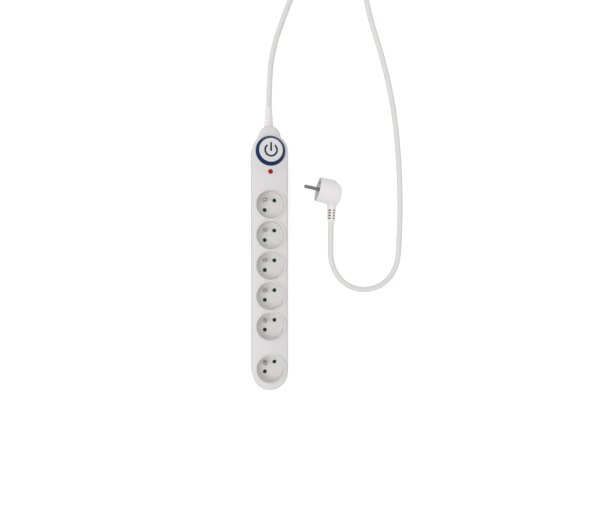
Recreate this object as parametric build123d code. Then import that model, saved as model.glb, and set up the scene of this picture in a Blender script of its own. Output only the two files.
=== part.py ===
from build123d import *
import math
import os

# Six-way power strip with 16 A / 250 V pin-earth sockets, a round push switch and an angled plug.
# Millimetres. +Y is the long axis, towards the switch and the cord outlet; +Z is up; X is the width.
# The origin is under the middle of the housing, on the surface the feet stand on.

# ---------------------------------------------------------------- driving dimensions
HOUSING_WIDTH = 49.6
END_RADIUS = HOUSING_WIDTH / 2
TOTAL_LENGTH = 366.2
NOSE_REACH = 12.1
NOSE_RADIUS = 15.4
TIP_Y = TOTAL_LENGTH / 2
TAIL_Y = -TOTAL_LENGTH / 2
BODY_TOP_Y = TIP_Y - NOSE_REACH
SWITCH_Y = BODY_TOP_Y - END_RADIUS
TAIL_CENTRE_Y = TAIL_Y + END_RADIUS
NOSE_CENTRE_Y = TIP_Y - NOSE_RADIUS

FOOT_HEIGHT = 2.0
SPLIT_Z = 13.0
CROWN_Z = 39.0
CROWN_RADIUS = 140.0
EDGE_RADIUS = 4.5
BASE_EDGE_RADIUS = 3.0
SEAM_CHAMFER = 0.4
WALL = 2.2
NOSE_TOP_Z = 33.0
NOSE_EDGE_RADIUS = 6.0
NOSE_CROWN_RADIUS = 40.0
TONGUE_HEIGHT = 1.8
TONGUE_WALL = 1.0

# Socket wells
WELL_YS = [73.4, 31.7, -10.0, -51.7, -93.4, -152.0]
WELL_RADIUS = 19.2
WELL_FLOOR_RADIUS = 18.9
WELL_CORNER_RADIUS = 1.8
CUP_OUTER_RADIUS = 21.4
RIM_Z = 40.2
WELL_DEPTH = 15.2
FLOOR_Z = RIM_Z - WELL_DEPTH
FLOOR_THICKNESS = 2.0
HOLE_REACH = 9.5
HOLE_RADIUS = 2.75
SOCKET_TURN = 45.0
EARTH_REACH = 10.0
EARTH_PIN_RADIUS = 2.4
EARTH_PIN_HEIGHT = 14.0
PIN_DOME = 1.7

# Shutters
SHUTTER_TURN = 38.0
SHUTTER_THICKNESS = 1.6
SHUTTER_GAP = 0.3
SHUTTER_HALF_ANGLE = 20.0
SHUTTER_REACH = 13.2
SHUTTER_HUB_RADIUS = 4.2
PIVOT_RADIUS = 2.0
PIVOT_CLEARANCE = 0.06
RETAINER_RADIUS = 16.5
RETAINER_BORE = 15.3
RETAINER_FLOOR = 1.4
SPRING_ANGLES = (248.5, 296.0)
SPRING_RADIUS = 0.72
SPRING_WIRE = 0.16
STOP_ANGLE = 305.0

# Contact rails
RAIL_Z = 4.6
RAIL_THICKNESS = 0.8
RAIL_HALF_WIDTH = 3.5
EARTH_RAIL_Z = 9.0
EARTH_RAIL_HALF_WIDTH = 1.9
EARTH_TAB = 3.2
EARTH_POST_RADIUS = 2.0

# Switch and indicator
BUTTON_TRAVEL = 3.5
BRIDGE_TRAVEL = 1.75
SKIRT_RADIUS = 19.7
SKIRT_TOP_RADIUS = 16.3
CAP_RADIUS = 15.9
CAP_TOP_Z = 47.0
CAP_THICKNESS = 3.0
COLLAR_Z = 39.9
GUIDE_GAP = 0.35
GUIDE_WALL = 1.6
GUIDE_BASE_Z = 31.3
SYMBOL_CENTRE_Y = -0.1
SYMBOL_RADIUS = 8.0
SYMBOL_STROKE = 2.4
SYMBOL_GAP = 44.0
LED_Y = 118.2
LED_RADIUS = 3.3
SWITCH_BODY_TOP = 22.0
SWITCH_HALF = 11.5
SWITCH_HALF_WIDTH = 12.0
SWITCH_WALL = 1.6
TERMINAL_Z = 7.0
TERMINAL_THICKNESS = 0.8
CARRIER_TOP = 13.4
POLE_X = 6.0
TAB_REACH = 15.5
PLUNGER_RADIUS = 3.35

# Cord and plug
CORD_DIAMETER = 8.0
CORD_RADIUS = CORD_DIAMETER / 2
CORD_LENGTH = 1500.0
CORD_LIE_Z = CORD_RADIUS + 0.1
BOOT_LENGTH = 28.0
BOOT_ROOT_RADIUS = 6.6
BOOT_BORE = 6.7
CORD_START_Y = 164.0
CLAMP_Y = 167.6
CLAMP_SCREW_X = 8.5
CORE_RADIUS = 1.3
COIL_CENTRE = (92.0, 432.0)
COIL_RADIUS = 40.0
COIL_HALF_WIDTH = 8.6
COIL_BASE_Z = 1.3
COIL_TOP_Z = 17.0
TIE_WIDTH = 6.0
TIE_THICKNESS = 0.9
TIE_GAP = 0.15
PLUG_RADIUS = 17.8
PLUG_DEPTH = 32.5
SEAM_X = -27.1
SEAM_WIDTH = 0.7
SEAM_DEPTH = 0.5
PIN_LENGTH = 19.0
PIN_RADIUS = 2.4
PIN_REACH = 9.5
PLUG_TILT = 12.0
PLUG_ROLL = -8.75
PLUG_FACE = (70.0, 97.7)
RELIEF_X = 90.5
RELIEF_LENGTH = 24.0
RELIEF_ROOT_RADIUS = 6.3
RELIEF_TIP_RADIUS = 5.2
SLOTS = 4
FIRST_SLOT = 6.6
SLOT_PITCH = 3.85
SLOT_WIDTH = 2.0
SLOT_SPINE = 1.65
SLOT_RIB = 1.0
LINER_THICKNESS = 0.5
FACE_RADIUS = 16.6
FACE_SINK = 0.6
FACE_DEPTH = 4.0
PIN_SHANK_RADIUS = 2.0
PIN_ROOT = 12.0
CLIP_NOTCH_Y = 16.4
CLIP_NOTCH_HALF = 4.0
CLIP_NOTCH_DEPTH = 14.0
EARTH_SOCKET_RADIUS = 3.2
EARTH_SOCKET_DEPTH = 17.0

# Fasteners
SCREW_RADIUS = 1.5
SCREW_HEAD_RADIUS = 2.9
BOSS_RADIUS = 3.2
BOSS_TOP_Z = 36.4
POST_RADIUS = 4.2
SCREW_PAIRS = [(17.0, 105.2), (17.85, -30.85), (15.0, -122.7)]
SCREW_PLACES = [(x * side, y) for x, y in SCREW_PAIRS for side in (-1, 1)]
FEET_PLACES = [(x, y) for x in (-15.5, 15.5) for y in (123.0, -158.0)]
KEYHOLE_YS = [107.0, -173.0]
KEYHOLE_RADIUS = 4.0
KEYHOLE_SLOT = 2.2
KEYHOLE_TRAVEL = 5.5
KEYHOLE_HOLLOW = 4.0
KEYHOLE_WALL = 1.2
CLAMP_POST_RADIUS = 2.9
CLAMP_BASE_Z = 15.4
CLAMP_BAR = 3.2
CLAMP_SCREW_RADIUS = 1.2
SCREW_SEAT_Z = 7.0
SCREW_LENGTH = 17.0
FOOT_RADIUS = 5.0
FOOT_RECESS = 0.7

# Heights and places that follow from the above
FLOOR_UNDERSIDE_Z = FLOOR_Z - FLOOR_THICKNESS
SHUTTER_Z = FLOOR_UNDERSIDE_Z - SHUTTER_GAP - SHUTTER_THICKNESS
RETAINER_Z = SHUTTER_Z - SHUTTER_GAP - RETAINER_FLOOR
BASE_FLOOR_Z = FOOT_HEIGHT + WALL
CAP_UNDERSIDE = CAP_TOP_Z - CAP_THICKNESS
BRIDGE_Z = TERMINAL_Z + TERMINAL_THICKNESS + BRIDGE_TRAVEL + 0.15
PLUNGER_Z = CARRIER_TOP + BUTTON_TRAVEL - BRIDGE_TRAVEL + 0.4
CONTACT_X = HOLE_REACH * math.sin(math.radians(SOCKET_TURN))
EARTH_POSTS = [WELL_YS[0] + 13.0] + [(WELL_YS[i] + WELL_YS[i + 1]) / 2 for i in (0, 2, 4)]


# ---------------------------------------------------------------- small helpers
def save(shape, node):
    export_step(shape, f"parts/{node}.step")


def group(pieces):
    """Separate solids that share one node."""
    return Compound([solid for piece in pieces for solid in piece.solids()])


def box(x0, x1, y0, y1, z0, z1):
    centre = ((x0 + x1) / 2, (y0 + y1) / 2, (z0 + z1) / 2)
    return Pos(*centre) * Box(x1 - x0, y1 - y0, z1 - z0)


def rod(x, y, z0, z1, radius):
    return Pos(x, y, (z0 + z1) / 2) * Cylinder(radius, z1 - z0)


def rod_y(x, y0, y1, z, radius):
    return Pos(x, (y0 + y1) / 2, z) * Rot(90, 0, 0) * Cylinder(radius, y1 - y0)


def tube(x, y, z0, z1, outer, inner):
    return rod(x, y, z0, z1, outer) - rod(x, y, z0 - 1, z1 + 1, inner)


def polar(radius, degrees, x=0.0, y=0.0):
    angle = math.radians(degrees)
    return (x + radius * math.cos(angle), y + radius * math.sin(angle))


def turned(outline, x=0.0, y=0.0, arc=360.0, start=0.0):
    """A closed (radius, height) outline turned about the vertical axis at x, y."""
    face = Rot(0, 0, start) * (Plane.XZ * outline)
    return Pos(x, y, 0) * revolve(face, Axis.Z, arc)


def closed(*stretches):
    return make_face([edge for stretch in stretches for edge in stretch.edges()])


def dome(radius, base_z, height):
    """The arc of a cap on the centre line, from its rim to its top."""
    sphere = (radius ** 2 + height ** 2) / (2 * height)
    centre_z = base_z + height - sphere
    half = math.asin(radius / sphere) / 2
    middle = (sphere * math.sin(half), centre_z + sphere * math.cos(half))
    return ThreePointArc((radius, base_z), middle, (0, base_z + height))


def sheet_of(points):
    return make_face(Polyline(*points, close=True))


# ---------------------------------------------------------------- housing outlines
def upper_outline(half_width, top_z, edge_radius, crown_radius, base_z, chamfer):
    """Half of the section above the split: crowned top, rounded shoulder, upright side."""
    centre_x = half_width - edge_radius
    reach = crown_radius - edge_radius
    crown_centre_z = top_z - crown_radius
    lean = math.asin(centre_x / reach)
    edge_centre_z = crown_centre_z + reach * math.cos(lean)
    shoulder = (centre_x + edge_radius * math.sin(lean), edge_centre_z + edge_radius * math.cos(lean))
    crown_mid = (crown_radius * math.sin(lean / 2), crown_centre_z + crown_radius * math.cos(lean / 2))
    half = (math.pi / 2 + lean) / 2
    edge_mid = (centre_x + edge_radius * math.sin(half), edge_centre_z + edge_radius * math.cos(half))
    side_top = (half_width, edge_centre_z)
    seam = [(half_width, base_z)]
    if chamfer:
        seam = [(half_width, base_z + chamfer), (half_width - chamfer, base_z)]
    return closed(
        ThreePointArc((0, top_z), crown_mid, shoulder),
        ThreePointArc(shoulder, edge_mid, side_top),
        Polyline(side_top, *seam, (0, base_z), (0, top_z)),
    )


def lower_outline(half_width, bottom_z, edge_radius, top_z, chamfer):
    """Half of the section below the split: upright side, rounded bottom edge, flat bottom."""
    inner = half_width - edge_radius
    corner = edge_radius * math.sin(math.pi / 4)
    seam = [(half_width, top_z)]
    if chamfer:
        seam = [(half_width - chamfer, top_z), (half_width, top_z - chamfer)]
    return closed(
        Polyline((inner, bottom_z), (0, bottom_z), (0, top_z), *seam, (half_width, bottom_z + edge_radius)),
        ThreePointArc((half_width, bottom_z + edge_radius),
                      (inner + corner, bottom_z + edge_radius - corner), (inner, bottom_z)),
    )


def long_form(outline, y0, y1, back_end=True):
    """The outline run from y0 to y1 on both sides, with half-turned ends."""
    side = extrude(Plane.XZ.offset(-y1) * outline, y1 - y0)
    body = side + mirror(side, Plane.YZ) + turned(outline, 0, y1, 180)
    return body + turned(outline, 0, y0, 180, 180) if back_end else body


def body_upper(inset, base_z, chamfer):
    section = upper_outline(END_RADIUS - inset, CROWN_Z - inset, EDGE_RADIUS - inset,
                            CROWN_RADIUS - inset, base_z, chamfer)
    return long_form(section, TAIL_CENTRE_Y, SWITCH_Y)


def nose_upper(inset, base_z, chamfer):
    section = upper_outline(NOSE_RADIUS - inset, NOSE_TOP_Z - inset, NOSE_EDGE_RADIUS - inset,
                            NOSE_CROWN_RADIUS - inset, base_z, chamfer)
    return long_form(section, SWITCH_Y, NOSE_CENTRE_Y, back_end=False)


def lower_form(half_width, y0, y1, inset, top_z, chamfer, back_end=True):
    edge_radius = max(BASE_EDGE_RADIUS - inset, 0.8)
    section = lower_outline(half_width - inset, FOOT_HEIGHT + inset, edge_radius, top_z, chamfer)
    return long_form(section, y0, y1, back_end)


# ---------------------------------------------------------------- housing
def socket_cup(y):
    """One well with its wall, floor and rounded lip, before its holes."""
    lip_z = RIM_Z - 1.0
    lip_mid_radius = (WELL_RADIUS + CUP_OUTER_RADIUS) / 2
    floor_arc_x = WELL_FLOOR_RADIUS - WELL_CORNER_RADIUS
    corner = WELL_CORNER_RADIUS * (1 - math.sin(math.pi / 4))
    outline = closed(
        Polyline((0, FLOOR_Z - FLOOR_THICKNESS), (CUP_OUTER_RADIUS, FLOOR_Z - FLOOR_THICKNESS),
                 (CUP_OUTER_RADIUS, lip_z)),
        ThreePointArc((CUP_OUTER_RADIUS, lip_z), (lip_mid_radius, RIM_Z), (WELL_RADIUS, lip_z)),
        Polyline((WELL_RADIUS, lip_z), (WELL_FLOOR_RADIUS, FLOOR_Z + WELL_CORNER_RADIUS)),
        ThreePointArc((WELL_FLOOR_RADIUS, FLOOR_Z + WELL_CORNER_RADIUS),
                      (WELL_FLOOR_RADIUS - corner, FLOOR_Z + corner), (floor_arc_x, FLOOR_Z)),
        Polyline((floor_arc_x, FLOOR_Z), (0, FLOOR_Z), (0, FLOOR_Z - FLOOR_THICKNESS)),
    )
    return turned(outline, 0, y)


def contact_places(y):
    return [polar(HOLE_REACH, SOCKET_TURN, 0, y), polar(HOLE_REACH, SOCKET_TURN + 180, 0, y)]


def earth_place(y):
    return polar(EARTH_REACH, SOCKET_TURN + 90, 0, y)


def contact_hole(x, y):
    """A pin hole with a small lead-in at the well floor."""
    lead = Pos(x, y, FLOOR_Z - 0.25) * Cone(HOLE_RADIUS, HOLE_RADIUS + 0.5, 0.5)
    return rod(x, y, FLOOR_Z - FLOOR_THICKNESS - 1, FLOOR_Z + 0.1, HOLE_RADIUS) + lead


def top_cover():
    shell = body_upper(0, SPLIT_Z, SEAM_CHAMFER) + nose_upper(0, SPLIT_Z, SEAM_CHAMFER)
    shell -= body_upper(WALL, SPLIT_Z - 1, 0)
    shell -= nose_upper(WALL, SPLIT_Z - 1, 0)
    for y in WELL_YS:
        shell -= rod(0, y, FLOOR_Z, RIM_Z + 5, (WELL_RADIUS + CUP_OUTER_RADIUS) / 2)
    shell -= rod(0, SWITCH_Y, GUIDE_BASE_Z, RIM_Z + 5, SKIRT_RADIUS + GUIDE_GAP + GUIDE_WALL / 2)
    for y in WELL_YS:
        shell += socket_cup(y)
    shell += switch_collar()
    for x, y in SCREW_PLACES:
        shell += rod(x, y, SPLIT_Z, BOSS_TOP_Z, BOSS_RADIUS)
    for x, y in SCREW_PLACES:
        shell -= rod(x, y, SPLIT_Z - 1, 27.0, SCREW_RADIUS)
    for y in WELL_YS:
        for place in contact_places(y):
            shell -= contact_hole(*place)
        shell -= rod(*earth_place(y), FLOOR_Z - 4, FLOOR_Z + 4, EARTH_PIN_RADIUS + 0.05)
    shell -= rod(0, LED_Y, 30, 45, LED_RADIUS + 0.05)
    shell -= rod_y(0, NOSE_CENTRE_Y, TIP_Y + 5, SPLIT_Z, BOOT_BORE)
    return shell


def switch_collar():
    """The guide sleeve of the button, with a low rounded lip above the cover."""
    inner = SKIRT_RADIUS + GUIDE_GAP
    outer = inner + GUIDE_WALL
    lip_z = COLLAR_Z - 0.7
    outline = closed(
        Polyline((inner, lip_z), (inner, GUIDE_BASE_Z), (outer, GUIDE_BASE_Z), (outer, lip_z)),
        ThreePointArc((outer, lip_z), ((inner + outer) / 2, COLLAR_Z), (inner, lip_z)),
    )
    return turned(outline, 0, SWITCH_Y)


def keyhole(y):
    """A screw head's hole, its slot towards the nose and the hollow behind both."""
    end_y = y + KEYHOLE_TRAVEL
    under_z = FOOT_HEIGHT - 1
    cut = rod(0, y, under_z, BASE_FLOOR_Z + KEYHOLE_HOLLOW, KEYHOLE_RADIUS)
    cut += box(-KEYHOLE_SLOT, KEYHOLE_SLOT, y, end_y, under_z, BASE_FLOOR_Z + 0.5)
    cut += rod(0, end_y, under_z, BASE_FLOOR_Z + 0.5, KEYHOLE_SLOT)
    hollow_top = BASE_FLOOR_Z + KEYHOLE_HOLLOW
    return cut + box(-KEYHOLE_RADIUS, KEYHOLE_RADIUS, y, end_y + KEYHOLE_SLOT, BASE_FLOOR_Z, hollow_top)


def lower_shell(inset, top_z, chamfer):
    """The body and the nose below the split, as one form."""
    body = lower_form(END_RADIUS, TAIL_CENTRE_Y, SWITCH_Y, inset, top_z, chamfer)
    return body + lower_form(NOSE_RADIUS, SWITCH_Y, NOSE_CENTRE_Y, inset, top_z, chamfer, back_end=False)


def bottom_cover():
    """The base with its tongue, its posts and the holes for keyholes, screws and feet."""
    shell = lower_shell(0, SPLIT_Z, SEAM_CHAMFER) + lower_shell(WALL + 0.1, SPLIT_Z + TONGUE_HEIGHT, 0)
    shell -= Pos(0, 0, -TONGUE_WALL - 0.1) * lower_shell(WALL + 0.1 + TONGUE_WALL, SPLIT_Z + 3, 0)
    root_z = BASE_FLOOR_Z - 0.5
    wall_reach = KEYHOLE_RADIUS + KEYHOLE_WALL
    wall_top = BASE_FLOOR_Z + KEYHOLE_HOLLOW + KEYHOLE_WALL
    for y in KEYHOLE_YS:
        end_y = y + KEYHOLE_TRAVEL + KEYHOLE_SLOT + KEYHOLE_WALL
        shell += box(-wall_reach, wall_reach, y - wall_reach, end_y, root_z, wall_top)
    for x, y in SCREW_PLACES:
        shell += rod(x, y, root_z, SPLIT_Z, POST_RADIUS)
    for x in (-CLAMP_SCREW_X, CLAMP_SCREW_X):
        shell += rod(x, CLAMP_Y, root_z, CLAMP_BASE_Z, CLAMP_POST_RADIUS)
    shell += box(-6.0, 6.0, CLAMP_Y - 4, CLAMP_Y + 4, root_z, SPLIT_Z - CORD_RADIUS)
    for y in EARTH_POSTS:
        shell += rod(0, y, root_z, EARTH_RAIL_Z, EARTH_POST_RADIUS)
    for y in KEYHOLE_YS:
        shell -= keyhole(y)
    for x, y in SCREW_PLACES:
        shell -= rod(x, y, FOOT_HEIGHT - 1, SCREW_SEAT_Z, SCREW_HEAD_RADIUS + 0.4)
        shell -= rod(x, y, FOOT_HEIGHT, SPLIT_Z + 3, SCREW_RADIUS + 0.2)
    for x in (-CLAMP_SCREW_X, CLAMP_SCREW_X):
        shell -= rod(x, CLAMP_Y, BASE_FLOOR_Z + 1.5, CLAMP_BASE_Z + 1, CLAMP_SCREW_RADIUS)
    for x, y in FEET_PLACES:
        shell -= rod(x, y, FOOT_HEIGHT - 1, FOOT_HEIGHT + FOOT_RECESS, FOOT_RADIUS + 0.1)
    shell -= rod_y(0, NOSE_CENTRE_Y, TIP_Y + 5, SPLIT_Z, BOOT_BORE)
    return shell


def rubber_feet():
    """Four pads in shallow recesses, chamfered where they stand."""
    chamfer = 0.5
    foot = rod(0, 0, chamfer, FOOT_HEIGHT + FOOT_RECESS, FOOT_RADIUS)
    foot += Pos(0, 0, chamfer / 2) * Cone(FOOT_RADIUS - chamfer, FOOT_RADIUS, chamfer)
    return [Pos(x, y, 0) * foot for x, y in FEET_PLACES]


def screw(x, y, head_z, head_height, length, head_radius, radius, upward=True):
    """A pan-head screw with a cross recess; its head's bearing face is at head_z."""
    arm, half, depth = 1.6, 0.35, 1.0
    crown_z = head_z - head_height
    piece = rod(x, y, crown_z, head_z, head_radius) + rod(x, y, head_z, head_z + length, radius)
    piece -= box(x - arm, x + arm, y - half, y + half, crown_z, crown_z + depth)
    piece -= box(x - half, x + half, y - arm, y + arm, crown_z, crown_z + depth)
    if upward:
        return piece
    return Pos(0, 0, head_z) * mirror(Pos(0, 0, -head_z) * piece, Plane.XY)


def housing_screws():
    head_height = 2.2
    return [screw(x, y, SCREW_SEAT_Z, head_height, SCREW_LENGTH, SCREW_HEAD_RADIUS, SCREW_RADIUS)
            for x, y in SCREW_PLACES]


# ---------------------------------------------------------------- sockets
def wing(centre_angle, y):
    """One blade of a shutter: a sector that closes a contact hole."""
    points = [polar(SHUTTER_REACH, centre_angle + a) for a in (-SHUTTER_HALF_ANGLE, 0, SHUTTER_HALF_ANGLE)]
    outline = closed(
        Line((0, 0), points[0]),
        ThreePointArc(*points),
        Line(points[2], (0, 0)),
    )
    return Pos(0, y, SHUTTER_Z) * extrude(outline, SHUTTER_THICKNESS)


def shutter(y):
    """A rotor with two blades on a central pivot; both blades turn aside together."""
    blades = wing(SOCKET_TURN, y) + wing(SOCKET_TURN + 180, y)
    hub = rod(0, y, SHUTTER_Z, SHUTTER_Z + SHUTTER_THICKNESS, SHUTTER_HUB_RADIUS)
    return blades + hub - rod(0, y, SHUTTER_Z - 1, FLOOR_Z, PIVOT_RADIUS + PIVOT_CLEARANCE)


def shutter_spring(y):
    """A small compression spring between a blade's edge and the retainer's stop."""
    start = polar(HOLE_REACH, SPRING_ANGLES[0])
    end = polar(HOLE_REACH, SPRING_ANGLES[1])
    length = math.dist(start, end)
    lean = math.degrees(math.atan2(end[1] - start[1], end[0] - start[0]))
    coil = Helix(pitch=length / 6, height=length, radius=SPRING_RADIUS)
    wire = sweep(Plane(coil @ 0, z_dir=coil % 0) * Circle(SPRING_WIRE), path=coil)
    seat = Pos(start[0], y + start[1], SHUTTER_Z + SHUTTER_THICKNESS / 2)
    return seat * Rot(0, 0, lean) * Rot(0, 90, 0) * wire


def shutter_retainer(y):
    """The dish under a well that carries the shutter's pivot and the spring's stop."""
    top = FLOOR_UNDERSIDE_Z
    floor_z = RETAINER_Z + RETAINER_FLOOR
    dish = rod(0, y, RETAINER_Z, top, RETAINER_RADIUS) - rod(0, y, floor_z, top + 1, RETAINER_BORE)
    dish += rod(0, y, RETAINER_Z, top, PIVOT_RADIUS)
    stop_x, stop_y = polar(HOLE_REACH, STOP_ANGLE, 0, y)
    dish += Pos(stop_x, stop_y, 0) * Rot(0, 0, STOP_ANGLE) * box(-1.5, 1.5, -0.9, 0.9, RETAINER_Z, top - 0.3)
    for x, hole_y in contact_places(y):
        dish -= rod(x, hole_y, RETAINER_Z - 1, floor_z + 0.05, HOLE_RADIUS + 0.35)
    return dish - rod(*earth_place(y), RETAINER_Z - 1, top + 1, EARTH_PIN_RADIUS + 0.1)


def earth_pin(y):
    """A round pin with a domed tip, standing in the well and riveted to the earth rail."""
    tip_z = FLOOR_Z + EARTH_PIN_HEIGHT
    x, pin_y = earth_place(y)
    base_z = EARTH_RAIL_Z + RAIL_THICKNESS
    outline = closed(
        Polyline((0, tip_z), (0, base_z), (EARTH_PIN_RADIUS, base_z), (EARTH_PIN_RADIUS, tip_z - PIN_DOME)),
        dome(EARTH_PIN_RADIUS, tip_z - PIN_DOME, PIN_DOME),
    )
    return turned(outline, x, pin_y)


def contact_leaves(x, y):
    """Two upright leaves that grip a pin, flared at the top."""
    leaves = None
    for side in (-1, 1):
        root_z = RAIL_Z + 0.1
        points = [(2.3, root_z), (3.1, root_z), (3.1, 16.2), (3.9, 18.4), (3.1, 18.4), (2.3, 16.2)]
        section = Plane.XZ * sheet_of([(side * px, pz) for px, pz in points])
        leaf = Pos(x, y + 4, 0) * extrude(section, 8)
        leaves = leaf if leaves is None else leaves + leaf
    return leaves


def pin_rail(side):
    """A flat rail along one side with a pair of leaves under each well's hole."""
    x = side * CONTACT_X
    y0, y1 = WELL_YS[-1] - CONTACT_X - 5, WELL_YS[0] + CONTACT_X + 14
    rail = box(x - RAIL_HALF_WIDTH, x + RAIL_HALF_WIDTH, y0, y1, RAIL_Z, RAIL_Z + RAIL_THICKNESS)
    for y in WELL_YS:
        rail += contact_leaves(x, y + side * CONTACT_X)
    return rail


def earth_rail():
    """The middle rail with a tab under each earth pin."""
    z0, z1 = EARTH_RAIL_Z, EARTH_RAIL_Z + RAIL_THICKNESS
    rail = box(-EARTH_RAIL_HALF_WIDTH, EARTH_RAIL_HALF_WIDTH, WELL_YS[-1], WELL_YS[0] + 22, z0, z1)
    for y in WELL_YS:
        x, pin_y = earth_place(y)
        rail += box(x - EARTH_TAB, 0, pin_y - EARTH_TAB, pin_y + EARTH_TAB, z0, z1)
    return rail


# ---------------------------------------------------------------- switch and indicator
def button_cap():
    """The white disc, slightly dished, with a socket for the plunger under it."""
    edge = 0.9
    corner = edge * (1 - math.sin(math.pi / 4))
    middle = (0, CAP_TOP_Z - 0.4)
    outline = closed(
        Polyline((0, CAP_UNDERSIDE), (CAP_RADIUS, CAP_UNDERSIDE), (CAP_RADIUS, CAP_TOP_Z - edge)),
        ThreePointArc((CAP_RADIUS, CAP_TOP_Z - edge), (CAP_RADIUS - corner, CAP_TOP_Z - corner),
                      (CAP_RADIUS - edge, CAP_TOP_Z)),
        ThreePointArc((CAP_RADIUS - edge, CAP_TOP_Z), (CAP_RADIUS / 2, CAP_TOP_Z - 0.28), middle),
        Polyline(middle, (0, CAP_UNDERSIDE)),
    )
    cap = turned(outline, 0, SWITCH_Y)
    cap += tube(0, SWITCH_Y, CAP_UNDERSIDE - 4, CAP_UNDERSIDE, 5.0, PLUNGER_RADIUS + 0.05)
    return cap - symbol_form(CAP_TOP_Z - 1.1, CAP_TOP_Z + 1)


def symbol_form(z0, z1):
    """A generic standby mark: an open ring and an upright bar, both with round ends."""
    centre_y = SWITCH_Y + SYMBOL_CENTRE_Y
    half = SYMBOL_STROKE / 2
    outer, inner = SYMBOL_RADIUS + half, SYMBOL_RADIUS - half
    right, left = 90 - SYMBOL_GAP, 90 + SYMBOL_GAP
    ring = Sketch() + closed(
        ThreePointArc(polar(outer, right), polar(outer, -90), polar(outer, left)),
        ThreePointArc(polar(outer, left), polar(SYMBOL_RADIUS, left - math.degrees(half / SYMBOL_RADIUS)),
                      polar(inner, left)),
        ThreePointArc(polar(inner, left), polar(inner, -90), polar(inner, right)),
        ThreePointArc(polar(inner, right), polar(SYMBOL_RADIUS, right + math.degrees(half / SYMBOL_RADIUS)),
                      polar(outer, right)),
    )
    bar = Pos(0, 4.5) * Rot(0, 0, 90) * SlotOverall(12.2, SYMBOL_STROKE)
    return Pos(0, centre_y, z0) * extrude(ring + bar, z1 - z0)


def power_symbol():
    """The mark as an inlay that follows the cap's dish a hair below its edge."""
    return symbol_form(CAP_TOP_Z - 1.1, CAP_TOP_Z - 0.3)


def button_skirt():
    """The blue skirt: a cone above the cover, a guided cylinder in it and a retaining flange."""
    outline = sheet_of([
        (CAP_RADIUS + 0.05, CAP_TOP_Z - 0.9), (CAP_RADIUS + 0.05, CAP_UNDERSIDE), (14.5, CAP_UNDERSIDE),
        (14.5, CAP_UNDERSIDE - 1.2), (17.6, CAP_UNDERSIDE - 3.5), (17.6, 29.2), (21.6, 29.2), (21.6, 31.0),
        (SKIRT_RADIUS, 31.0), (SKIRT_RADIUS, 40.4), (SKIRT_TOP_RADIUS, CAP_TOP_Z - 0.9),
    ])
    return turned(outline, 0, SWITCH_Y)


def switch_plunger():
    """The post from the cap to the contact carrier, with a collar that stops it in the switch body."""
    post = rod(0, SWITCH_Y, PLUNGER_Z, CAP_UNDERSIDE, PLUNGER_RADIUS)
    return post + rod(0, SWITCH_Y, PLUNGER_Z, 18.0, PLUNGER_RADIUS + 1.25)


def button_spring():
    height = CAP_UNDERSIDE - 1.1 - SWITCH_BODY_TOP
    coil = Helix(pitch=height / 6.5, height=height, radius=6.2)
    wire = sweep(Plane(coil @ 0, z_dir=coil % 0) * Circle(0.5), path=coil)
    return Pos(0, SWITCH_Y, SWITCH_BODY_TOP + 0.55) * wire


def switch_body():
    """A moulded box around the contacts, open for the plunger and the four terminals."""
    def block(inset, z0, z1):
        half_x, half_y = SWITCH_HALF_WIDTH - inset, SWITCH_HALF - inset
        return box(-half_x, half_x, SWITCH_Y - half_y, SWITCH_Y + half_y, z0, z1)

    shell = block(0, BASE_FLOOR_Z, SWITCH_BODY_TOP)
    shell -= block(SWITCH_WALL, TERMINAL_Z - 0.8, SWITCH_BODY_TOP - SWITCH_WALL)
    shell -= rod(0, SWITCH_Y, 18, SWITCH_BODY_TOP + 1, PLUNGER_RADIUS + 0.1)
    for side in (-1, 1):
        for x in (-POLE_X, POLE_X):
            y = SWITCH_Y + side * (SWITCH_HALF - 0.8)
            shell -= box(x - 2.55, x + 2.55, y - 1.2, y + 1.2, TERMINAL_Z - 0.05, TERMINAL_Z + 0.85)
    return shell


def switch_terminals():
    """Four fixed contacts with tabs outside the switch body."""
    pieces = []
    for side in (-1, 1):
        for x in (-POLE_X, POLE_X):
            y0, y1 = sorted((SWITCH_Y + side * 4.5, SWITCH_Y + side * TAB_REACH))
            pieces.append(box(x - 2.5, x + 2.5, y0, y1, TERMINAL_Z, TERMINAL_Z + TERMINAL_THICKNESS))
    return pieces


def contact_carrier():
    """The insulating slide under the plunger that carries both bridges."""
    return box(-9.6, 9.6, SWITCH_Y - 2.4, SWITCH_Y + 2.4, BRIDGE_Z + 0.9, CARRIER_TOP)


def contact_bridges():
    """One bar per pole that closes its two fixed contacts when the carrier goes down."""
    bar = box(-2.2, 2.2, SWITCH_Y - 8, SWITCH_Y + 8, BRIDGE_Z, BRIDGE_Z + 0.9)
    return [Pos(x, 0, 0) * bar for x in (-POLE_X, POLE_X)]


def indicator_lens():
    """A red lens with a domed tip and a flange under the cover."""
    crest = 40.0
    rise = 1.3
    flange = LED_RADIUS + 1.2
    outline = closed(
        Polyline((0, crest), (0, 34.4), (flange, 34.4), (flange, 35.6), (LED_RADIUS, 35.6),
                 (LED_RADIUS, crest - rise)),
        dome(LED_RADIUS, crest - rise, rise),
    )
    return turned(outline, 0, LED_Y)


def indicator_lamp():
    """A neon lamp: a round glass with a domed end, on two short leads."""
    glass = rod(0, LED_Y, 22.5, 31.6, 2.6) + Pos(0, LED_Y, 31.6) * Sphere(2.6)
    for x in (-1.2, 1.2):
        glass += rod(x, LED_Y, 14.0, 22.5, 0.35)
    return glass


def indicator_resistor():
    """A leaded resistor beside the lamp."""
    body = rod_y(-8.0, LED_Y - 3.5, LED_Y + 3.5, 20.0, 1.5)
    return body + rod_y(-8.0, LED_Y - 8.0, LED_Y + 8.0, 20.0, 0.35)


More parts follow.
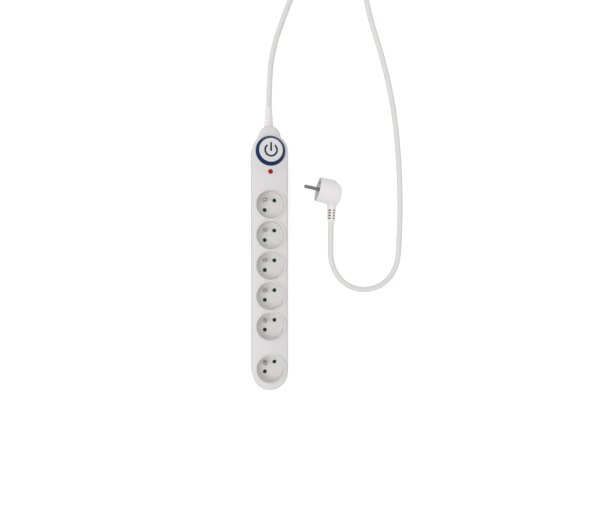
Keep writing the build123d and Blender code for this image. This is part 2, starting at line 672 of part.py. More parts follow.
# ---------------------------------------------------------------- cord entry and wiring
def cord_clamp():
    """A saddle bar over the cord's sheath."""
    bar = box(-12.0, 12.0, CLAMP_Y - 3, CLAMP_Y + 3, CLAMP_BASE_Z, CLAMP_BASE_Z + CLAMP_BAR)
    bar -= rod_y(0, CLAMP_Y - 5, CLAMP_Y + 5, SPLIT_Z, CORD_RADIUS)
    for x in (-CLAMP_SCREW_X, CLAMP_SCREW_X):
        bar -= rod(x, CLAMP_Y, 14, 20, 1.5)
    return bar


def clamp_screws():
    head_height, length, head_radius = 1.6, 12.0, 2.4
    return [screw(x, CLAMP_Y, CLAMP_BASE_Z + CLAMP_BAR, head_height, length, head_radius, CLAMP_SCREW_RADIUS,
                  upward=False) for x in (-CLAMP_SCREW_X, CLAMP_SCREW_X)]


def cord_boot():
    """The tapered boot in the nose, with a flange inside and ring grooves outside."""
    root = BOOT_ROOT_RADIUS
    flange_y = NOSE_CENTRE_Y + 5.0
    points = [(CORD_RADIUS + 0.05, flange_y), (8.2, flange_y), (8.2, flange_y + 3.0),
              (root, flange_y + 3.0), (root, TIP_Y + 2.5)]
    for i in range(4):
        y = TIP_Y + 5.0 + i * 5.2
        radius = root - 0.3 - i * 0.36
        points += [(radius, y), (radius - 0.9, y + 0.3), (radius - 0.95, y + 1.6), (radius - 0.1, y + 1.9)]
    points += [(CORD_RADIUS + 1.1, TIP_Y + BOOT_LENGTH - 0.6), (CORD_RADIUS + 0.6, TIP_Y + BOOT_LENGTH),
               (CORD_RADIUS + 0.05, TIP_Y + BOOT_LENGTH)]
    return Pos(0, 0, SPLIT_Z) * Rot(-90, 0, 0) * revolve(Plane.XZ * sheet_of(points), Axis.Z)


def swept(points, radius, bends):
    path = FilletPolyline(*points, radius=bends)
    return sweep(Plane(path @ 0, z_dir=path % 0) * Circle(radius), path=path), path


def switch_leads(side):
    """One pole's two wires: cord to switch, and switch to rail."""
    tab_z = TERMINAL_Z + TERMINAL_THICKNESS + CORE_RADIUS + 0.05
    rail_z = RAIL_Z + RAIL_THICKNESS + CORE_RADIUS + 0.05
    tab_y = SWITCH_Y - TAB_REACH
    keyhole_y = KEYHOLE_YS[0]
    inlet = [(2.0, CORD_START_Y + 2, 11.8), (2.0, CORD_START_Y - 1.5, 11.8),
             (POLE_X, SWITCH_Y + TAB_REACH - 0.8, tab_z), (POLE_X, SWITCH_Y + SWITCH_HALF + 0.7, tab_z)]
    outlet = [(POLE_X, tab_y + 3.3, tab_z), (POLE_X, tab_y - 5, tab_z), (9.3, keyhole_y + 12, tab_z),
              (9.3, keyhole_y - 6, tab_z), (CONTACT_X, keyhole_y - 12, rail_z),
              (CONTACT_X, keyhole_y - 17, rail_z)]
    wires = []
    for route, bends in ((inlet, 1.9), (outlet, 3.0)):
        points = [(side * x, y, z) for x, y, z in route]
        wires.append(swept(points, CORE_RADIUS, bends)[0])
    return wires


def earth_wire():
    """From the cord round the switch to the earth rail."""
    end_z = EARTH_RAIL_Z + RAIL_THICKNESS + CORE_RADIUS + 0.05
    points = [(0, CORD_START_Y + 2, 15.3), (0, CORD_START_Y - 1.5, 15.3), (-13, 160.5, 14.5),
              (-15.8, 152.0, 13.5), (-15.8, 130.0, 13.5), (-9.5, 116.0, 13.5), (-9.5, 103.0, 13.5),
              (0, 96.0, end_z), (0, 89.0, end_z)]
    return swept(points, CORE_RADIUS, 2.4)[0]


# ---------------------------------------------------------------- cord
PLUG_AXIS_Z = PLUG_RADIUS
PLUG_ORIGIN = Pos(*PLUG_FACE, PLUG_AXIS_Z)
PLUG_HEADING = Rot(0, 0, 180 - PLUG_TILT)
PLUG_PLACE = PLUG_ORIGIN * PLUG_HEADING
PLUG_ROLLED = PLUG_PLACE * Rot(PLUG_ROLL, 0, 0) * PLUG_PLACE.inverse()
PLUG_AXIS_Y = PLUG_FACE[1] - (RELIEF_X - PLUG_FACE[0]) * math.tan(math.radians(PLUG_TILT))
RELIEF_ROOT_Y = PLUG_AXIS_Y - PLUG_RADIUS / math.cos(math.radians(PLUG_TILT)) - 0.2
RELIEF_TIP_Y = RELIEF_ROOT_Y - RELIEF_LENGTH
LINER_TIP_Y = RELIEF_TIP_Y + 2.6
CORD_END_Y = RELIEF_ROOT_Y - 8.0
COIL_IN = (COIL_CENTRE[0] - COIL_RADIUS - 4.0, COIL_CENTRE[1], COIL_BASE_Z + CORD_RADIUS)
COIL_OUT = (COIL_CENTRE[0] + COIL_RADIUS + 3.0, COIL_CENTRE[1], COIL_TOP_Z - CORD_RADIUS)


def on_relief(y):
    """A point of the relief's centre line, with the plug rolled as it lies."""
    return tuple((PLUG_ROLLED * Pos(RELIEF_X, y, PLUG_AXIS_Z)).position)


STRIP_RUN = [(0, CORD_START_Y, SPLIT_Z), (0, 230, SPLIT_Z), (5, 294, CORD_LIE_Z), (26, 354, CORD_LIE_Z),
             (45, 400, CORD_LIE_Z + 0.4), COIL_IN]
PLUG_RUN = [COIL_OUT, (136, 404, COIL_OUT[2] - 0.4), (148, 354, 6.5), (170, 294, CORD_LIE_Z),
            (187, 224, CORD_LIE_Z), (195, 152, CORD_LIE_Z), (198, 87, CORD_LIE_Z), (197, 33, CORD_LIE_Z),
            (194.5, -13, CORD_LIE_Z), (174, -41, CORD_LIE_Z), (141, -50.5, CORD_LIE_Z),
            (110, -39, CORD_LIE_Z), (91.5, -10, CORD_LIE_Z + 0.2), on_relief(27.0), on_relief(CORD_END_Y)]


def bend_radii(points):
    """The largest tangent arc that each corner's two runs allow."""
    radii = []
    for before, corner, after in zip(points, points[1:], points[2:]):
        incoming, outgoing = Vector(*corner) - Vector(*before), Vector(*after) - Vector(*corner)
        half_turn = math.radians(incoming.get_angle(outgoing)) / 2
        radii.append(0.45 * min(incoming.length, outgoing.length) / math.tan(half_turn))
    return radii


def cord_run(points, name):
    radii = bend_radii(points)
    run, path = swept(points, CORD_RADIUS, radii)
    section = math.pi * CORD_RADIUS ** 2
    print(name, "radii", [round(r) for r in radii], "length", round(path.length, 1),
          "volume / (section x length)", round(run.volume / (section * path.length), 4))
    return run, path.length


def cord_coil():
    """The outer shape of the wound turns."""
    half_height = (COIL_TOP_Z - COIL_BASE_Z) / 2
    section = RectangleRounded(2 * COIL_HALF_WIDTH, 2 * half_height, 4.0)
    face = Plane.XZ * Pos(COIL_RADIUS, COIL_BASE_Z + half_height) * section
    return Pos(*COIL_CENTRE, 0) * revolve(face, Axis.Z)


def coil_tie():
    """A flat band round the turns at the coil's far side."""
    half_height = (COIL_TOP_Z - COIL_BASE_Z) / 2

    def frame(grown, corner):
        return RectangleRounded(2 * (COIL_HALF_WIDTH + grown), 2 * (half_height + grown), corner)

    place = Plane.YZ.offset(-TIE_WIDTH / 2) * Pos(COIL_RADIUS, COIL_BASE_Z + half_height)
    band = extrude(place * (frame(TIE_GAP + TIE_THICKNESS, 5.0) - frame(TIE_GAP, 4.1)), TIE_WIDTH)
    half_width = TIE_WIDTH / 2
    tail = box(-half_width, half_width, COIL_RADIUS - 3, COIL_RADIUS + 3, COIL_TOP_Z + 0.65, COIL_TOP_Z + 3.5)
    return Pos(*COIL_CENTRE, 0) * (band + tail)


# ---------------------------------------------------------------- plug, drawn with its pins along +X
def placed(shape):
    """From the plug's own axes to its place, on its side and not yet rolled."""
    return PLUG_PLACE * shape


def rod_x(x0, x1, y, z, radius):
    return Pos((x0 + x1) / 2, y, z) * Rot(0, 90, 0) * Cylinder(radius, x1 - x0)


def plug_block():
    """The moulded body's outer form: a round front, a slanted back and the seam round its back part."""
    profile = sheet_of([(0, -PLUG_RADIUS - 1), (-20.5, -PLUG_RADIUS - 1), (-30.6, -9.0), (-PLUG_DEPTH, 5.0),
                        (-31.2, PLUG_RADIUS + 1), (0, PLUG_RADIUS + 1)])
    block = Pos(0, 0, -PLUG_RADIUS - 1) * extrude(profile, 2 * PLUG_RADIUS + 2)
    block &= rod_x(-PLUG_DEPTH - 1, 0, 0, 0, PLUG_RADIUS)
    back_edges = [e for e in block.edges() if e.center().X < -10]
    block = fillet(back_edges, 2.4)
    ring = rod_x(SEAM_X - SEAM_WIDTH, SEAM_X, 0, 0, PLUG_RADIUS + 1)
    return block - (ring - rod_x(SEAM_X - 1, SEAM_X + 1, 0, 0, PLUG_RADIUS - SEAM_DEPTH))


def plug_body():
    body = placed(plug_block())
    body += rod_y(RELIEF_X, RELIEF_ROOT_Y - 0.8, RELIEF_ROOT_Y + 10, PLUG_AXIS_Z, RELIEF_ROOT_RADIUS + 0.5)
    body -= placed(rod_x(-FACE_DEPTH, 1, 0, 0, FACE_RADIUS))
    for side in (-1, 1):
        body -= placed(rod_x(-PIN_ROOT, 1, 0, side * PIN_REACH, PIN_SHANK_RADIUS))
        y0, y1 = sorted((side * CLIP_NOTCH_Y, side * (PLUG_RADIUS + 1)))
        body -= placed(box(-CLIP_NOTCH_DEPTH, 1, y0, y1, -CLIP_NOTCH_HALF, CLIP_NOTCH_HALF))
    body -= placed(rod_x(-EARTH_SOCKET_DEPTH, 1, -EARTH_REACH, 0, EARTH_SOCKET_RADIUS))
    body -= rod_y(RELIEF_X, CORD_END_Y - 2, RELIEF_ROOT_Y + 1.5, PLUG_AXIS_Z, RELIEF_ROOT_RADIUS - 0.6)
    return PLUG_ROLLED * body


def plug_face():
    """The hard disc in the plug's front."""
    disc = rod_x(-FACE_DEPTH, -FACE_SINK, 0, 0, FACE_RADIUS)
    disc -= rod_x(-5, 1, -EARTH_REACH, 0, EARTH_SOCKET_RADIUS)
    for side in (-1, 1):
        disc -= rod_x(-5, 1, 0, side * PIN_REACH, PIN_SHANK_RADIUS)
        y0, y1 = sorted((side * CLIP_NOTCH_Y, side * PLUG_RADIUS))
        disc -= box(-5, 1, y0, y1, -CLIP_NOTCH_HALF, CLIP_NOTCH_HALF)
    return PLUG_ROLLED * placed(disc)


def plug_pins():
    """Two round pins with domed tips."""
    outline = closed(
        Polyline((0, PIN_LENGTH), (0, -PIN_ROOT), (PIN_SHANK_RADIUS, -PIN_ROOT),
                 (PIN_SHANK_RADIUS, -FACE_SINK), (PIN_RADIUS, -FACE_SINK),
                 (PIN_RADIUS, PIN_LENGTH - PIN_DOME)),
        dome(PIN_RADIUS, PIN_LENGTH - PIN_DOME, PIN_DOME),
    )
    pin = Rot(0, 90, 0) * revolve(Plane.XZ * outline, Axis.Z)
    return [PLUG_ROLLED * placed(Pos(0, 0, side * PIN_REACH) * pin) for side in (-1, 1)]


def plug_earth_clips():
    """Two side contacts in the body's notches."""
    clips = []
    for side in (-1, 1):
        y0, y1 = sorted((side * (CLIP_NOTCH_Y + 0.05), side * (CLIP_NOTCH_Y + 0.95)))
        clips.append(PLUG_ROLLED * placed(box(0.1 - CLIP_NOTCH_DEPTH, -0.8, y0, y1, -3.0, 3.0)))
    return clips


def plug_earth_socket():
    """The sleeve in the plug that takes a socket's earth pin."""
    sleeve = rod_x(0.1 - EARTH_SOCKET_DEPTH, -0.9, -EARTH_REACH, 0, EARTH_SOCKET_RADIUS - 0.05)
    return PLUG_ROLLED * placed(sleeve - rod_x(-15.5, 1, -EARTH_REACH, 0, EARTH_PIN_RADIUS + 0.1))


def plug_relief():
    """The tapered sleeve where the cord leaves the plug, slotted from above and below on each side."""
    root = RELIEF_ROOT_RADIUS
    bore = CORD_RADIUS + LINER_THICKNESS + 0.05
    points = [(bore, RELIEF_ROOT_Y + 1.4), (root - 0.65, RELIEF_ROOT_Y + 1.4),
              (root - 0.65, RELIEF_ROOT_Y - 0.85), (root, RELIEF_ROOT_Y - 0.85),
              (RELIEF_TIP_RADIUS + 0.1, RELIEF_TIP_Y + 1.2),
              (RELIEF_TIP_RADIUS - 0.4, RELIEF_TIP_Y), (CORD_RADIUS + 0.05, RELIEF_TIP_Y),
              (CORD_RADIUS + 0.05, LINER_TIP_Y), (bore, LINER_TIP_Y)]
    sleeve = Pos(RELIEF_X, 0, PLUG_AXIS_Z) * Rot(-90, 0, 0) * revolve(Plane.XZ * sheet_of(points), Axis.Z)
    beyond = root + 2.7
    for i in range(SLOTS):
        y = RELIEF_ROOT_Y - FIRST_SLOT - i * SLOT_PITCH
        y0, y1 = y - SLOT_WIDTH / 2, y + SLOT_WIDTH / 2
        for side in (-1, 1):
            x0, x1 = sorted((RELIEF_X + side * SLOT_SPINE, RELIEF_X + side * beyond))
            sleeve -= box(x0, x1, y0, y1, PLUG_AXIS_Z + SLOT_RIB, PLUG_AXIS_Z + beyond)
            sleeve -= box(x0, x1, y0, y1, PLUG_AXIS_Z - beyond, PLUG_AXIS_Z - SLOT_RIB)
    return PLUG_ROLLED * sleeve


def plug_relief_liner():
    """The dark inner sleeve round the cord that shows in the relief's slots."""
    radius = CORD_RADIUS + LINER_THICKNESS
    outer = rod_y(RELIEF_X, LINER_TIP_Y + 0.05, RELIEF_ROOT_Y + 1.4, PLUG_AXIS_Z, radius)
    bore = rod_y(RELIEF_X, LINER_TIP_Y - 1, RELIEF_ROOT_Y + 3, PLUG_AXIS_Z, CORD_RADIUS + 0.05)
    return PLUG_ROLLED * (outer - bore)


# ---------------------------------------------------------------- build
os.makedirs("parts", exist_ok=True)

save(top_cover(), "top_cover")
save(bottom_cover(), "bottom_cover")
save(group(rubber_feet()), "rubber_feet")
save(group(housing_screws()), "housing_screws")

for number, well_y in enumerate(WELL_YS, start=1):
    save(shutter(well_y), f"shutter_{number}")
    save(shutter_spring(well_y), f"shutter_spring_{number}")
save(group([shutter_retainer(y) for y in WELL_YS]), "shutter_retainers")
save(group([earth_pin(y) for y in WELL_YS]), "earth_pins")
save(pin_rail(1), "live_rail")
save(pin_rail(-1), "neutral_rail")
save(earth_rail(), "earth_rail")

save(button_cap(), "button_cap")
save(button_skirt(), "button_skirt")
save(power_symbol(), "power_symbol")
save(switch_plunger(), "switch_plunger")
save(button_spring(), "button_spring")
save(switch_body(), "switch_body")
save(group(switch_terminals()), "switch_terminals")
save(contact_carrier(), "contact_carrier")
save(group(contact_bridges()), "contact_bridges")

save(indicator_lens(), "indicator_lens")
save(indicator_lamp(), "indicator_lamp")
save(indicator_resistor(), "indicator_resistor")

save(group(switch_leads(1)), "live_wires")
save(group(switch_leads(-1)), "neutral_wires")
save(earth_wire(), "earth_wire")
save(cord_clamp(), "cord_clamp")
save(group(clamp_screws()), "clamp_screws")
save(cord_boot(), "cord_boot")

strip_run, strip_length = cord_run(STRIP_RUN, "strip run")
plug_run, plug_length = cord_run(PLUG_RUN, "plug run")
save(strip_run, "cord_run_strip")
save(plug_run, "cord_run_plug")
save(cord_coil(), "cord_coil")
save(coil_tie(), "coil_tie")
print("length left for the coil", round(CORD_LENGTH - strip_length - plug_length, 1))

save(plug_body(), "plug_body")
save(plug_face(), "plug_face")
save(group(plug_pins()), "plug_pins")
save(group(plug_earth_clips()), "plug_earth_clips")
save(plug_earth_socket(), "plug_earth_socket")
save(plug_relief(), "plug_relief")
save(plug_relief_liner(), "plug_relief_liner")
for side in (-1, 1):
    middle = PLUG_ROLLED * placed(Pos(8.0, 0, side * PIN_REACH))
    print("pin centre", [round(v, 3) for v in middle.position])
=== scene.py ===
import math
import bpy
from mathutils import Matrix, Vector


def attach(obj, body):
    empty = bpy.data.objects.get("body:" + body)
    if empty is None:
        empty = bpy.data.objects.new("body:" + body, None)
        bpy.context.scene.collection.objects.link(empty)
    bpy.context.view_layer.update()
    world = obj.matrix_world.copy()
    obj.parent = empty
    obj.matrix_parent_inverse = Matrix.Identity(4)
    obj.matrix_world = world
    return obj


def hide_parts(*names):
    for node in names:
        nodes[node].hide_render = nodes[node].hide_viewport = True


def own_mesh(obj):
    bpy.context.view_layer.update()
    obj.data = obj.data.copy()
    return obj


# Looks for the power strip: materials on its CAD pieces, the cord as one curve, light and camera.
# Metres, in the frame's axes: +Y along the strip towards the switch, +Z up.

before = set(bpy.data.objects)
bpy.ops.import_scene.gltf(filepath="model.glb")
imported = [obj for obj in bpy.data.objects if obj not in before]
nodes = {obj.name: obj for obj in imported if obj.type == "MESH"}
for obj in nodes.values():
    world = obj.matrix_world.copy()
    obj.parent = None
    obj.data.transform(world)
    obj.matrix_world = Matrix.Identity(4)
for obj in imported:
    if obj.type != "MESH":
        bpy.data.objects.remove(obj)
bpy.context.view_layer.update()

MM = 0.001
SOCKETS = range(1, 7)

# Moulded plastic: how far light goes into it, how large its blotches of colour and gloss are, and its grain
SCATTER_RADII = (1.0, 0.9, 0.8)
SCATTER_DEPTH = 1.2 * MM
MOTTLE_SIZE = 18 * MM
GLOSS_SIZE = 9 * MM
GLOSS_SPREAD = 0.04
GRAIN_SIZE = 0.25 * MM
GRAIN_DEPTH = 0.02 * MM
GRAIN_STRENGTH = 0.4
POLISHED_SIZE = 0.6 * MM
POLISHED_DEPTH = 0.006 * MM
BLOTCH_START = 0.32
BLOTCH_END = 0.68

# Metal: patches of tarnish, and the fine lines of drawing or stamping
TARNISH_SIZE = 3 * MM
TARNISH = 0.12
METAL_GLOSS_SIZE = 0.5 * MM
METAL_GLOSS_SPREAD = 0.07
LINE_SIZE = 0.12 * MM
LINE_DEPTH = 0.01 * MM
LINE_STRENGTH = 0.35


# ---------------------------------------------------------------- shader helpers
class Shader:
    """A node material with a Principled surface and short ways to add procedural detail."""

    def __init__(self, name, colour, roughness, **sockets):
        self.material = bpy.data.materials.new(name)
        self.material.use_nodes = True
        self.tree = self.material.node_tree
        self.surface = self.tree.nodes["Principled BSDF"]
        self.colour = colour
        self.roughness = roughness
        self.surface.inputs["Base Color"].default_value = (*colour, 1.0)
        self.surface.inputs["Roughness"].default_value = roughness
        self.surface.inputs["Subsurface Radius"].default_value = SCATTER_RADII
        self.surface.inputs["Subsurface Scale"].default_value = SCATTER_DEPTH
        for socket, value in sockets.items():
            self.surface.inputs[socket.replace("_", " ")].default_value = value
        self.place = self.tree.nodes.new("ShaderNodeTexCoord").outputs["Object"]
        self.normal = None

    def link(self, output, socket):
        self.tree.links.new(output, socket)

    def stretched(self, scale):
        """Object coordinates multiplied along X, Y and Z."""
        node = self.tree.nodes.new("ShaderNodeMapping")
        node.inputs["Scale"].default_value = scale
        self.link(self.place, node.inputs["Vector"])
        return node.outputs["Vector"]

    def noise(self, size, detail=2.0, rough=0.5, vector=None):
        """Noise whose blotches are about size metres across, from 0 to 1."""
        node = self.tree.nodes.new("ShaderNodeTexNoise")
        node.inputs["Scale"].default_value = 1.0 / size
        node.inputs["Detail"].default_value = detail
        node.inputs["Roughness"].default_value = rough
        self.link(vector or self.place, node.inputs["Vector"])
        return node.outputs["Fac"]

    def ranged(self, value, low, high, start=0.3, end=0.7):
        """The value carried from start..end to low..high."""
        node = self.tree.nodes.new("ShaderNodeMapRange")
        node.inputs["From Min"].default_value = start
        node.inputs["From Max"].default_value = end
        node.inputs["To Min"].default_value = low
        node.inputs["To Max"].default_value = high
        self.link(value, node.inputs["Value"])
        return node.outputs["Result"]

    def mottle(self, size, amount):
        """Slight uneven colour: darker by amount in soft blotches."""
        dark = [c * (1 - amount) for c in self.colour]
        ramp = self.tree.nodes.new("ShaderNodeValToRGB")
        ramp.color_ramp.elements[0].position = BLOTCH_START
        ramp.color_ramp.elements[0].color = (*dark, 1.0)
        ramp.color_ramp.elements[1].position = BLOTCH_END
        ramp.color_ramp.elements[1].color = (*self.colour, 1.0)
        self.link(self.noise(size, 3.0), ramp.inputs["Fac"])
        self.link(ramp.outputs["Color"], self.surface.inputs["Base Color"])
        return self

    def uneven_gloss(self, size, spread, vector=None):
        """Roughness that wanders by spread either way."""
        wander = self.noise(size, 3.0, 0.6, vector)
        value = self.ranged(wander, self.roughness - spread, self.roughness + spread)
        self.link(value, self.surface.inputs["Roughness"])
        return self

    def bump(self, height, depth, strength=1.0):
        """A relief of depth metres from a 0 to 1 height."""
        node = self.tree.nodes.new("ShaderNodeBump")
        node.inputs["Strength"].default_value = strength
        node.inputs["Distance"].default_value = depth
        self.link(height, node.inputs["Height"])
        if self.normal:
            self.link(self.normal, node.inputs["Normal"])
        self.normal = node.outputs["Normal"]
        self.link(self.normal, self.surface.inputs["Normal"])
        return self

    def grain(self, size, depth, strength=GRAIN_STRENGTH):
        """The fine eroded texture of a mould, of this size and depth in metres."""
        return self.bump(self.noise(size, 1.0), depth, strength)


def moulded(name, colour, roughness, grain_size=GRAIN_SIZE, grain_depth=GRAIN_DEPTH, mottle=0.02,
            **sockets):
    """Injection-moulded plastic with a fine eroded texture and slightly uneven gloss."""
    shader = Shader(name, colour, roughness, **sockets)
    shader.mottle(MOTTLE_SIZE, mottle)
    shader.uneven_gloss(GLOSS_SIZE, GLOSS_SPREAD)
    return shader.grain(grain_size, grain_depth)


def metal(name, colour, roughness, along=(1.0, 1.0, 1.0), **sockets):
    """Plated or stamped metal with fine lines; along below 1 draws them out on that axis."""
    shader = Shader(name, colour, roughness, Metallic=1.0, **sockets)
    shader.mottle(TARNISH_SIZE, TARNISH)
    lines = shader.stretched(along)
    shader.uneven_gloss(METAL_GLOSS_SIZE, METAL_GLOSS_SPREAD, lines)
    return shader.bump(shader.noise(LINE_SIZE, vector=lines), LINE_DEPTH, LINE_STRENGTH)


def dress(name, shader):
    """Puts one material on a CAD node."""
    piece = nodes[name]
    piece.data.materials.clear()
    piece.data.materials.append(shader.material)


# ---------------------------------------------------------------- materials
def dress_housing():
    dress("top_cover", moulded("cover_white_mat", (0.83, 0.812, 0.816), 0.45, Subsurface_Weight=0.05))
    dress("bottom_cover", moulded("base_white_mat", (0.78, 0.763, 0.767), 0.5, grain_depth=0.04 * MM))
    rubber = moulded("foot_rubber_mat", (0.035, 0.035, 0.037), 0.75, grain_size=0.4 * MM,
                     grain_depth=0.05 * MM, mottle=0.15)
    dress("rubber_feet", rubber)
    steel = metal("screw_steel_mat", (0.55, 0.55, 0.57), 0.32)
    dress("housing_screws", steel)
    dress("clamp_screws", steel)


def dress_sockets():
    green = moulded("shutter_green_mat", (0.010, 0.062, 0.030), 0.4, mottle=0.1,
                    Specular_IOR_Level=0.15)
    spring = metal("spring_steel_mat", (0.5, 0.5, 0.52), 0.28)
    for number in SOCKETS:
        dress(f"shutter_{number}", green)
        dress(f"shutter_spring_{number}", spring)
    dress("button_spring", spring)
    dress("shutter_retainers", moulded("retainer_grey_mat", (0.40, 0.41, 0.42), 0.5))
    dress("earth_pins", metal("pin_nickel_mat", (0.50, 0.465, 0.435), 0.22, along=(1.0, 1.0, 0.1)))
    brass = metal("rail_brass_mat", (0.72, 0.50, 0.20), 0.3, along=(1.0, 0.05, 1.0))
    for name in ("live_rail", "neutral_rail", "earth_rail", "switch_terminals", "contact_bridges"):
        dress(name, brass)


def dress_switch():
    cap = moulded("button_white_mat", (0.81, 0.803, 0.819), 0.3, POLISHED_SIZE, POLISHED_DEPTH,
                  mottle=0.015, Subsurface_Weight=0.05)
    dress("button_cap", cap)
    blue = moulded("button_blue_mat", (0.008, 0.038, 0.135), 0.34, POLISHED_SIZE, POLISHED_DEPTH,
                   mottle=0.12, Specular_IOR_Level=0.08)
    dress("button_skirt", blue)
    navy = moulded("symbol_navy_mat", (0.006, 0.010, 0.045), 0.35, mottle=0.1, Specular_IOR_Level=0.2)
    dress("power_symbol", navy)
    grey = moulded("switch_grey_mat", (0.45, 0.45, 0.45), 0.45)
    dress("switch_plunger", grey)
    dress("contact_carrier", grey)
    dress("switch_body", moulded("switch_black_mat", (0.02, 0.02, 0.021), 0.45, mottle=0.1))


def dress_indicator():
    lens = moulded("lens_red_mat", (0.48, 0.012, 0.006), 0.2, grain_size=0.5 * MM, grain_depth=0.004 * MM,
                   mottle=0.2, Transmission_Weight=0.1, Emission_Strength=0.06, Specular_IOR_Level=0.12)
    lens.surface.inputs["Emission Color"].default_value = (0.9, 0.03, 0.01, 1.0)
    dress("indicator_lens", lens)
    glass = Shader("lamp_glass_mat", (0.95, 0.9, 0.86), 0.05, Transmission_Weight=1.0, IOR=1.45)
    dress("indicator_lamp", glass.grain(0.8 * MM, 0.004 * MM, 0.2))
    dress("indicator_resistor", moulded("resistor_body_mat", (0.50, 0.33, 0.18), 0.35, mottle=0.1))


def dress_wiring():
    for name, colour in (("live_wires", (0.13, 0.045, 0.02)), ("neutral_wires", (0.03, 0.14, 0.45)),
                         ("earth_wire", (0.14, 0.36, 0.05))):
        dress(name, moulded(f"{name}_mat", colour, 0.4, mottle=0.1))
    dress("cord_clamp", moulded("clamp_grey_mat", (0.40, 0.41, 0.42), 0.5))


def dress_plug():
    white = moulded("plug_white_mat", (0.94, 0.926, 0.929), 0.45, grain_size=0.3 * MM,
                    Subsurface_Weight=0.05)
    dress("plug_body", white)
    dress("plug_relief", white)
    dress("cord_boot", white)
    # The liner's dark brown is partly painted shade: it darkens what is seen through the relief's slots,
    # over a brown tone of its own
    brown = moulded("liner_brown_and_slot_shade_mat", (0.13, 0.085, 0.07), 0.6, mottle=0.1)
    dress("plug_relief_liner", brown)
    dress("plug_face", moulded("plug_grey_mat", (0.62, 0.62, 0.63), 0.4))
    nickel = metal("plug_nickel_mat", (0.30, 0.29, 0.28), 0.3, along=(0.1, 1.0, 1.0))
    dress("plug_pins", nickel)
    dress("plug_earth_clips", nickel)
    dress("plug_earth_socket", metal("earth_socket_mat", (0.035, 0.04, 0.04), 0.5))


def compress_springs():
    """Gives the button spring and each shutter spring its own copy of its mesh."""
    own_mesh(nodes["button_spring"])
    for number in SOCKETS:
        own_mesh(nodes[f"shutter_spring_{number}"])


# ---------------------------------------------------------------- cord
CORD_DIAMETER = 8.0 * MM
CORD_RADIUS = CORD_DIAMETER / 2
CORD_STEPS = 12
CORD_ROUNDNESS = 7
OUTLET_HEIGHT = 13.0

# Route points in millimetres: out of the nose to the coil, and from the coil to the plug
LIE = 4.1
STRIP_RUN = [(0, 165, OUTLET_HEIGHT), (0, 230, OUTLET_HEIGHT), (5, 294, LIE), (26, 354, LIE),
             (45, 400, LIE + 0.4)]
PLUG_RUN = [(136, 404, 13.0), (148, 354, 6.5), (170, 294, LIE), (187, 224, LIE), (195, 152, LIE),
            (198, 87, LIE), (197, 33, LIE), (194.5, -13, LIE), (174, -41, LIE), (141, -50.5, LIE),
            (110, -39, LIE), (91.5, -10, LIE + 0.2), (90.7, 27.7, 7.9), (90.6, 66.0, 13.7)]

# The put-away coil: radii and heights in millimetres, and where along it the cord climbs, in turns
COIL_CENTRE = (92.0, 432.0)
COIL_TURNS = 2.5
POINTS_PER_TURN = 16
OUTER_TURN = 44.0
COIL_FLOOR = 5.3
CLIMB_FROM = 1.5
CLIMB_DEGREES_PER_TURN = 240
CLIMB_DEGREES = 120
CROSS_FROM = 2.2
CROSS_TURNS = 0.3
CROSS_HEIGHT = 13.4
CROSS_RADIUS = OUTER_TURN - 1.0


def coil_points():
    """Two turns side by side, then a climb into the groove between them and over the outer one."""
    diameter = CORD_DIAMETER / MM
    # the spline runs inside its control points, so they stand this much further out
    inside = math.cos(math.pi / POINTS_PER_TURN)
    points = []
    for step in range(int(COIL_TURNS * POINTS_PER_TURN) + 1):
        turn = step / POINTS_PER_TURN
        reach = OUTER_TURN - diameter * turn
        height = COIL_FLOOR
        if turn > CLIMB_FROM:
            climb = math.radians(min(CLIMB_DEGREES_PER_TURN * (turn - CLIMB_FROM), CLIMB_DEGREES))
            reach = OUTER_TURN - diameter * (turn - 1) - diameter * math.cos(climb)
            height = COIL_FLOOR + diameter * math.sin(climb)
        if turn > CROSS_FROM:
            over = (turn - CROSS_FROM) / CROSS_TURNS
            reach += over * (CROSS_RADIUS - reach)
            height += over * (CROSS_HEIGHT - height)
        angle = math.pi - 2 * math.pi * turn
        points.append((COIL_CENTRE[0] + reach / inside * math.cos(angle),
                       COIL_CENTRE[1] + reach / inside * math.sin(angle), height))
    return points


def cord_material():
    white = Shader("cord_white_mat", (0.86, 0.845, 0.84), 0.42, Subsurface_Weight=0.04)
    white.mottle(25 * MM, 0.03)
    white.uneven_gloss(6 * MM, 0.05)
    return white.grain(0.35 * MM, 0.015 * MM)


def lead():
    """The whole cord, from its clamp in the nose to the plug's relief, as one smooth curve."""
    curve = bpy.data.curves.new("lead", "CURVE")
    curve.dimensions = "3D"
    spline = curve.splines.new("NURBS")
    points = STRIP_RUN + coil_points() + PLUG_RUN
    spline.points.add(len(points) - 1)
    for knot, (x, y, z) in zip(spline.points, points):
        knot.co = (x * MM, y * MM, z * MM, 1.0)
    spline.order_u = 3
    spline.use_endpoint_u = True
    spline.resolution_u = CORD_STEPS
    curve.bevel_depth = CORD_RADIUS
    curve.bevel_resolution = CORD_ROUNDNESS
    curve.use_fill_caps = True
    piece = bpy.data.objects.new("lead", curve)
    bpy.context.scene.collection.objects.link(piece)
    curve.materials.append(cord_material().material)
    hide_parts("cord_run_strip", "cord_coil", "cord_run_plug")
    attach(piece, "housing")
    grey = moulded("tie_grey_mat", (0.10, 0.10, 0.105), 0.6, grain_size=0.3 * MM, grain_depth=0.05 * MM,
                   mottle=0.15)
    dress("coil_tie", grey)


# ---------------------------------------------------------------- stage, light and camera
IMAGE_WIDTH = 590
RIM_HEIGHT = 40.2 * MM
CAMERA_AT = (-70.6 * MM, 16.1 * MM, RIM_HEIGHT + 676 * MM)
CAMERA_AIM = (33.5 * MM, 2.3 * MM, RIM_HEIGHT)
FOCAL_PIXELS = 497.9
SENSOR = 36.0

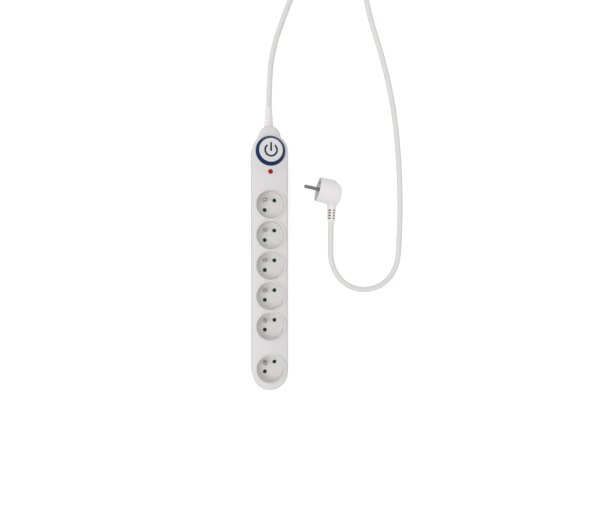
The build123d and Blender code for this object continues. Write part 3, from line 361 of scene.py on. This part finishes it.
# What the walls shine with (they are seen at 1), and how much the floor glows to the camera alone
WALL_LIGHT = 0.66
FLOOR_GLOW = 0.5
FLOOR_HALF = 6.0
KEY_AT = (-1.1, -0.3, 1.8)
KEY_AIM = (0.05, 0.0, 0.0)
KEY_SIDE = 1.2
KEY_WATTS = 12.0
KEY_COLOUR = (1.0, 0.99, 0.975)


def stage():
    """A plain white paper floor."""
    mesh = bpy.data.meshes.new("floor")
    corners = [(x * FLOOR_HALF, y * FLOOR_HALF, 0) for x, y in ((-1, -1), (1, -1), (1, 1), (-1, 1))]
    mesh.from_pydata(corners, [], [(0, 1, 2, 3)])
    floor = bpy.data.objects.new("floor", mesh)
    bpy.context.scene.collection.objects.link(floor)
    paper = Shader("floor_mat", (0.86, 0.86, 0.86), 0.9)
    paper.mottle(0.4, 0.01)
    seen = paper.tree.nodes.new("ShaderNodeLightPath").outputs["Is Camera Ray"]
    paper.surface.inputs["Emission Color"].default_value = (1.0, 1.0, 1.0, 1.0)
    glow = paper.ranged(seen, 0.0, FLOOR_GLOW, 0.0, 1.0)
    paper.link(glow, paper.surface.inputs["Emission Strength"])
    mesh.materials.append(paper.material)


def walls():
    """White walls all round, seen brighter than they shine."""
    world = bpy.data.worlds.new("studio")
    world.use_nodes = True
    tree = world.node_tree
    wall = tree.nodes["Background"]
    wall.inputs["Color"].default_value = (1.0, 1.0, 1.0, 1.0)
    seen = tree.nodes.new("ShaderNodeLightPath").outputs["Is Camera Ray"]
    strength = tree.nodes.new("ShaderNodeMapRange")
    strength.inputs["To Min"].default_value = WALL_LIGHT
    strength.inputs["To Max"].default_value = 1.0
    tree.links.new(seen, strength.inputs["Value"])
    tree.links.new(strength.outputs["Result"], wall.inputs["Strength"])
    bpy.context.scene.world = world


def key_light():
    """One large soft light from the left."""
    data = bpy.data.lights.new("key", "AREA")
    data.shape = "SQUARE"
    data.size = KEY_SIDE
    data.energy = KEY_WATTS
    data.color = KEY_COLOUR
    lamp = bpy.data.objects.new("key", data)
    lamp.location = KEY_AT
    lamp.rotation_euler = (Vector(KEY_AIM) - Vector(KEY_AT)).to_track_quat("-Z", "Y").to_euler()
    bpy.context.scene.collection.objects.link(lamp)


def camera():
    """Above the strip and to its left, level with +Y up in the picture."""
    data = bpy.data.cameras.new("camera")
    data.sensor_width = SENSOR
    data.lens = FOCAL_PIXELS / IMAGE_WIDTH * SENSOR
    data.clip_start = 10 * MM
    eye = bpy.data.objects.new("camera", data)
    eye.location = CAMERA_AT
    look = Vector(CAMERA_AIM) - Vector(CAMERA_AT)
    back = -look.normalized()
    right = Vector((0, 1, 0)).cross(back).normalized()
    up = back.cross(right)
    rotation = [list(row) for row in zip(right, up, back)]
    eye.rotation_euler = Matrix(rotation).to_euler()
    bpy.context.scene.collection.objects.link(eye)
    bpy.context.scene.camera = eye
    bpy.context.scene.view_settings.view_transform = "Standard"


dress_housing()
dress_sockets()
dress_switch()
dress_indicator()
dress_wiring()
dress_plug()
compress_springs()
lead()
stage()
walls()
key_light()
camera()
